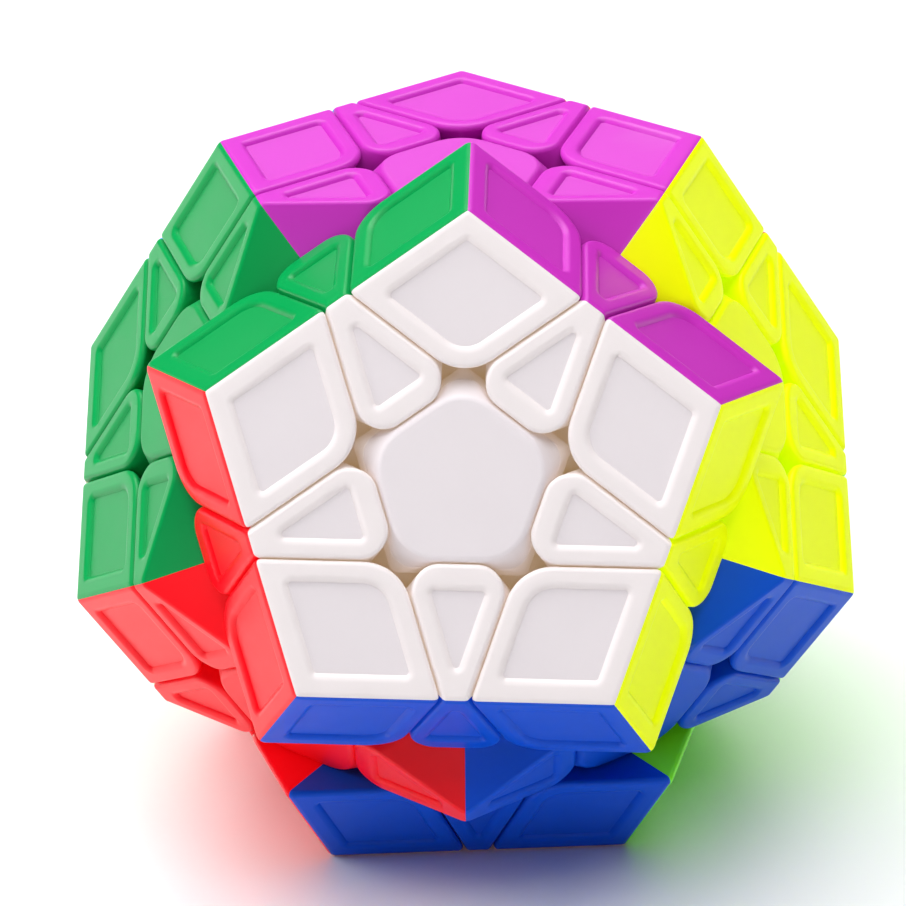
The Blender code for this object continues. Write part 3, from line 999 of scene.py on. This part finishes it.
def evaluated_mesh(helpers):
    """The mesh of the first helper with its modifiers applied. All the helpers are removed."""
    graph = bpy.context.evaluated_depsgraph_get()
    mesh = bpy.data.meshes.new_from_object(
        helpers[0].evaluated_get(graph), preserve_all_data_layers=True, depsgraph=graph
    )
    for helper in helpers:
        bpy.data.objects.remove(helper)
    return mesh


def built(name, base, steps):
    """Joins solids to a base or cuts them from it. Each step is ("UNION" or "DIFFERENCE", solid)."""
    helpers = [link(name + "_body", to_mesh(base, name))]
    for operation, solid in steps:
        helpers.append(link(name + "_" + operation.lower(), to_mesh(solid, name)))
        modifier = helpers[0].modifiers.new(operation.lower(), "BOOLEAN")
        modifier.operation = operation
        modifier.object = helpers[-1]
    return finished(evaluated_mesh(helpers))


def finished(mesh):
    """Smooth shading that keeps the flat areas flat and the real corners sharp."""
    mesh.shade_smooth()
    mesh.set_sharp_from_angle(angle=SHARP_ANGLE)
    body = link("finished", mesh)
    modifier = body.modifiers.new("flat_faces", "WEIGHTED_NORMAL")
    modifier.mode = "FACE_AREA"
    modifier.weight = FLAT_WEIGHT
    modifier.keep_sharp = True
    return evaluated_mesh([body])


# Materials


class Look:
    """A material with a Principled shader, whose inputs take values or other nodes' outputs."""

    def __init__(self, name):
        self.material = bpy.data.materials.new(name)
        self.material.use_nodes = True
        self.tree = self.material.node_tree
        self.place = self.add("ShaderNodeTexCoord", {}, "Object")

    def feed(self, node, inputs):
        """Gives inputs of a node their values. A colour comes without its opacity."""
        for name, value in inputs.items():
            if isinstance(value, bpy.types.NodeSocket):
                self.tree.links.new(value, node.inputs[name])
            else:
                node.inputs[name].default_value = (*value, 1.0) if isinstance(value, tuple) else value

    def add(self, kind, inputs, output, **settings):
        """Adds a node, and returns one of its outputs."""
        node = self.tree.nodes.new(kind)
        for key, value in settings.items():
            setattr(node, key, value)
        self.feed(node, inputs)
        return node.outputs[output]

    def shade(self, inputs):
        """Gives inputs of the material's shader their values."""
        self.feed(self.tree.nodes["Principled BSDF"], inputs)

    def noise(self, scale, detail=2.0):
        inputs = {"Vector": self.place, "Scale": scale, "Detail": detail}
        return self.add("ShaderNodeTexNoise", inputs, "Fac")

    def spread(self, value, low, high, start=0.0, end=1.0):
        """A value that runs from low to high where another runs from start to end."""
        inputs = {"Value": value, "From Min": start, "From Max": end, "To Min": low, "To Max": high}
        return self.add("ShaderNodeMapRange", inputs, "Result")

    def mix(self, share, first, second):
        inputs = {"Fac": share, "Color1": first, "Color2": second}
        return self.add("ShaderNodeMixRGB", inputs, "Color")

    def relief(self, height, strength):
        inputs = {"Height": height, "Strength": strength, "Distance": GRAIN_HEIGHT}
        return self.add("ShaderNodeBump", inputs, "Normal")


def plastic(name, colour, finish, gloss_level=GLOSS, glow=NO_LIGHT, gap_light=0.0):
    """Moulded plastic: uneven gloss and colour, fine grain, painted highlights on sharp edges, painted glow.
    """
    roughness, grain = finish
    look = Look(name)
    clouds = look.noise(CLOUD_SCALE, CLOUD_DETAIL)
    shade = look.mix(clouds, tuple(channel * CLOUD_SHADE for channel in colour), colour)
    sharpness = look.add("ShaderNodeNewGeometry", {}, "Pointiness")
    # Painted highlight: the sharpest edges are made a little whiter.
    painted_edge_highlight = look.spread(sharpness, 0.0, EDGE_HIGHLIGHT, EDGE_HIGHLIGHT_START, EDGE_HIGHLIGHT_END)
    look.shade({
        "Base Color": look.mix(painted_edge_highlight, shade, WHITE),
        "Specular IOR Level": gloss_level,
        "Roughness": look.spread(clouds, roughness - CLOUD_ROUGHNESS, roughness + CLOUD_ROUGHNESS),
        "Normal": look.relief(look.noise(GRAIN_SCALE), grain),
        # Painted glow: constant on the fluorescent plastics, and growing in the narrow gaps of the white
        # plastic.
        "Emission Color": GAP_LIGHT_COLOUR if gap_light else glow,
        "Emission Strength": light_in_gaps(look, gap_light) if gap_light else 1.0,
    })
    return look.material


def light_in_gaps(look, strength):
    """Painted glow that grows with how closely other plastic faces the surface."""
    reach = {"Distance": GAP_LIGHT_REACH}
    openness = look.add("ShaderNodeAmbientOcclusion", reach, "AO", samples=GAP_LIGHT_SAMPLES)
    return look.spread(openness, strength, 0.0, 0.0, GAP_LIGHT_OPEN)


def steel():
    """Zinc-plated steel, with fine marks from turning."""
    look = Look("steel")
    marks = look.noise(STEEL_MARK_SCALE)
    look.shade({
        "Metallic": 1.0,
        "Base Color": STEEL_COLOUR,
        "Roughness": look.spread(marks, *STEEL_ROUGHNESS),
        "Normal": look.relief(marks, STEEL_MARKS),
    })
    return look.material


def floor_material():
    """A plain pale sheet, with painted light that grows stronger further out."""
    look = Look("pale_floor")
    distance = look.add("ShaderNodeVectorMath", {"Vector": look.place}, "Value", operation="LENGTH")
    look.shade({
        "Base Color": FLOOR_COLOUR,
        "Roughness": look.spread(look.noise(FLOOR_FIBRE_SCALE), *FLOOR_ROUGHNESS),
        "Emission Color": WHITE,
        "Emission Strength": look.spread(distance, 0.0, FLOOR_LIGHT, FLOOR_LIGHT_START, FLOOR_LIGHT_END),
    })
    return look.material


# The assembly


def face_rotation(sample, target):
    """The rotation that carries one pair of neighbouring faces onto another pair."""
    return rotation_between([FACES[face] for face in sample], [FACES[face] for face in target])


def centre_rotation(face):
    """The rotation that carries +Z onto a face's axis."""
    return face_rotation(("magenta", "white"), (face, neighbours(face)[0]))


def body_of_layer(face):
    """The body in the CAD that moves with a face, which is the core's if its layer doesn't turn."""
    return face + "_layer" if face in LAYER_TURNS else "core"


def place(name, mesh, layer, rotation, materials, slot, *nodes):
    """One visible piece, turned to its place and then with its layer. It stands for the CAD nodes."""
    angle = math.radians(LAYER_TURNS.get(layer, 0.0))
    turn = Matrix.Rotation(angle, 4, FACES.get(layer, Vector((0, 0, 1))))
    mesh = mesh.copy()
    mesh.transform(Matrix.Translation(CORE_CENTRE) @ turn @ rotation.to_4x4())
    while len(mesh.materials) < len(materials):
        mesh.materials.append(None)
    for index, material in enumerate(materials):
        mesh.materials[index] = material
    piece = link(name, mesh)
    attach(piece, body_of_layer(layer))
    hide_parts(*nodes)


def centre_pieces(plastics, panels, core_plastic, steel_finish):
    """Every centre's cap, hub, screw and spring, and the core that the screws go into."""
    cap, hub, screw, spring = cap_mesh(), hub_mesh(), screw_mesh(), spring_mesh()
    core_node = "core_with_locked_centres"
    for face in FACES:
        turning = face in LAYER_TURNS
        rotation = centre_rotation(face)
        layer = face if turning else "core"
        slot = face + "_plastic" if face + "_plastic" in SLOTS else "core_plastic"
        cap_node = "centre_cap_" + face if turning else core_node
        hub_node = "centre_hub_" + face if turning else core_node
        screw_node = "axle_screw_" + face if turning else core_node
        place("cap_" + face, cap, layer, rotation, [panels[face]], slot, cap_node)
        place("hub_" + face, hub, layer, rotation, [plastics[face]], slot, hub_node)
        place("screw_" + face, screw, "core", rotation, [steel_finish], "steel", screw_node)
        place("spring_" + face, spring, "core", rotation, [steel_finish], "steel")
    place("core", core_mesh(), "core", Matrix.Identity(3), [core_plastic], "core_plastic", core_node)


def edge_pieces(plastics, panels):
    sample = edge_pairs()[0]
    steps = [("UNION", edge_neck(*sample)), ("UNION", edge_foot(*sample))]
    mesh = built("edge", edge_surface(*sample), steps)
    for pair in edge_pairs():
        place_shell("edge_" + "_".join(pair), mesh, sample, pair, plastics, panels)


def corner_pieces(plastics, panels):
    sample = corner_triples()[0]
    mesh = built("corner", corner_surface(sample), [("UNION", corner_foot(sample))])
    for triple in corner_triples():
        place_shell("corner_" + "_".join(triple), mesh, sample, triple, plastics, panels)


def place_shell(node, mesh, sample, faces, plastics, panels):
    """One edge or corner, copied from the sample's faces to its own. It stands for a CAD node."""
    looks = [plastics[face] for face in faces] + [panels[face] for face in faces]
    rotation = face_rotation(sample[:2], faces[:2])
    place("shell_" + node, mesh, faces[0], rotation, looks, faces[0] + "_plastic", node)


# Floor, light and camera


def add_floor():
    bm = bmesh.new()
    bmesh.ops.create_grid(
        bm, x_segments=FLOOR_DIVISIONS, y_segments=FLOOR_DIVISIONS, size=FLOOR_HALF_WIDTH
    )
    floor = link("floor", to_mesh(bm, "floor"))
    floor.data.materials.append(floor_material())


def add_softbox(name, azimuth, elevation, width, height, power, reflection):
    """A rectangular light that faces the core centre."""
    data = bpy.data.lights.new("softbox_" + name, "AREA")
    data.shape = "RECTANGLE"
    data.size, data.size_y = width, height
    data.energy = power
    light = link("softbox_" + name, data)
    light.visible_diffuse = reflection == "matt"
    light.visible_glossy = reflection == "glossy"
    outward = direction(math.radians(azimuth), math.radians(elevation))
    light.location = CORE_CENTRE + outward * SOFTBOX_DISTANCE
    light.rotation_euler = outward.to_track_quat("Z", "Y").to_euler()


def add_lights():
    """The softboxes, and a white backdrop that gives no light."""
    world = bpy.data.worlds.new("studio")
    bpy.context.scene.world = world
    world.use_nodes = True
    world.node_tree.nodes["Background"].inputs["Color"].default_value = (*WHITE, 1.0)
    world.cycles_visibility.diffuse = False
    world.cycles_visibility.glossy = False
    for softbox in SOFTBOXES:
        add_softbox(*softbox)


def add_camera():
    """The camera looks at a target given from the core centre, along its own right and up."""
    data = bpy.data.cameras.new("camera")
    data.lens = CAMERA_LENS
    camera = link("camera", data)
    azimuth, roll = math.radians(CAMERA_AZIMUTH), math.radians(CAMERA_ROLL)
    back = direction(azimuth, math.radians(CAMERA_ELEVATION))
    right = Vector((math.cos(azimuth), math.sin(azimuth), 0))
    up = back.cross(right)
    target = CORE_CENTRE + right * CAMERA_TARGET[0] + up * CAMERA_TARGET[1]
    tilted_right = right * math.cos(roll) + up * math.sin(roll)
    tilted_up = up * math.cos(roll) - right * math.sin(roll)
    camera.matrix_world = columns(tilted_right, tilted_up, back).to_4x4()
    camera.location = target + back * CAMERA_DISTANCE
    bpy.context.scene.camera = camera


def main():
    add_camera()
    add_floor()
    add_lights()
    bpy.context.scene.view_settings.view_transform = "Standard"

    plastics = {}
    panels = {}
    for face, colour in COLOURS.items():
        lights = (GLOW.get(face, NO_LIGHT), GAP_LIGHT.get(face, 0.0))
        gloss = DULLNESS.get(face, 1.0)
        plastics[face] = plastic(face + "_plastic", colour, SHELL_FINISH, GLOSS * gloss, *lights)
        shade = PANEL_SHADES.get(face, PANEL_SHADE)
        colour = tuple(channel * part for channel, part in zip(colour, shade))
        panels[face] = plastic(face + "_panel", colour, PANEL_FINISH, PANEL_GLOSS * gloss, *lights)
    core_plastic = plastic("core_plastic", CORE_COLOUR, CORE_FINISH)

    centre_pieces(plastics, panels, core_plastic, steel())
    edge_pieces(plastics, panels)
    corner_pieces(plastics, panels)


main()
